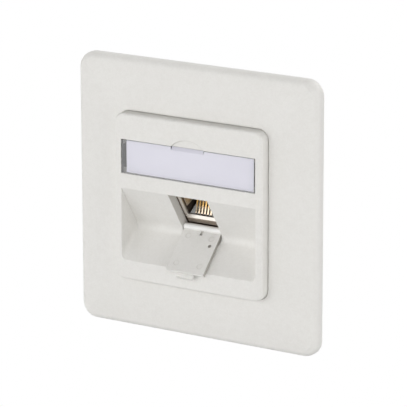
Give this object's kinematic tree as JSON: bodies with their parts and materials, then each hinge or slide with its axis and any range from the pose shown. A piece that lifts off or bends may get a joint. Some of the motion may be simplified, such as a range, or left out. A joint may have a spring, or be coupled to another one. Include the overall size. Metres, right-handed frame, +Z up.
{
  "type": "ethernet wall socket",
  "caption": "Flush wall socket with a square cover frame, a label window above a slanted recess, and a shielded network port behind a hinged dust flap.",
  "frame": {"origin": "centre of the wall plane, which is the back rim of the cover frame", "axes": "+X to the right seen from the room, +Y into the wall, +Z up"},
  "size_m": [0.0812, 0.038, 0.0812],
  "materials": {
    "white_plastic": "moulded plastic, warm white, fine satin grain",
    "flap_plastic": "moulded plastic, warm white, smooth",
    "clear_plastic": "clear moulded plastic, polished",
    "paper": "plain uncoated paper",
    "cast_housing": "die-cast, nickel plated, satin",
    "cast_support": "die-cast, bare",
    "screw_steel": "zinc plated",
    "contact_gold": "gilt spring wire, bright",
    "spring_metal": "tinned spring bronze",
    "carrier_plastic": "light grey moulded plastic",
    "board_green": "laminate with lacquer",
    "terminal_plastic": "black moulded plastic",
    "terminal_metal": "tinned bronze",
    "cap_plastic": "white moulded plastic"
  },
  "bodies": {
    "base": {"cover_frame": "white_plastic", "central_plate": "white_plastic", "label_window": "clear_plastic", "paper_label": "paper", "plate_screws": "screw_steel", "support_plate": "cast_support", "jack_housing": "cast_housing", "contact_carrier": "carrier_plastic", "spring_contacts": "contact_gold", "shield_springs": "spring_metal", "jack_board": "board_green", "terminal_block": "terminal_plastic", "wire_terminals": "terminal_metal", "wire_cap": "cap_plastic", "rear_cap": "cast_housing"},
    "flap": {"dust_flap": "flap_plastic"}
  },
  "joints": [
    {"name": "flap_hinge", "type": "hinge", "parent": "base", "child": "flap", "pos_m": [0, 0.00121, -0.00864], "axis": [-1, 0, 0], "range_deg": [0, 95]}
  ]
}
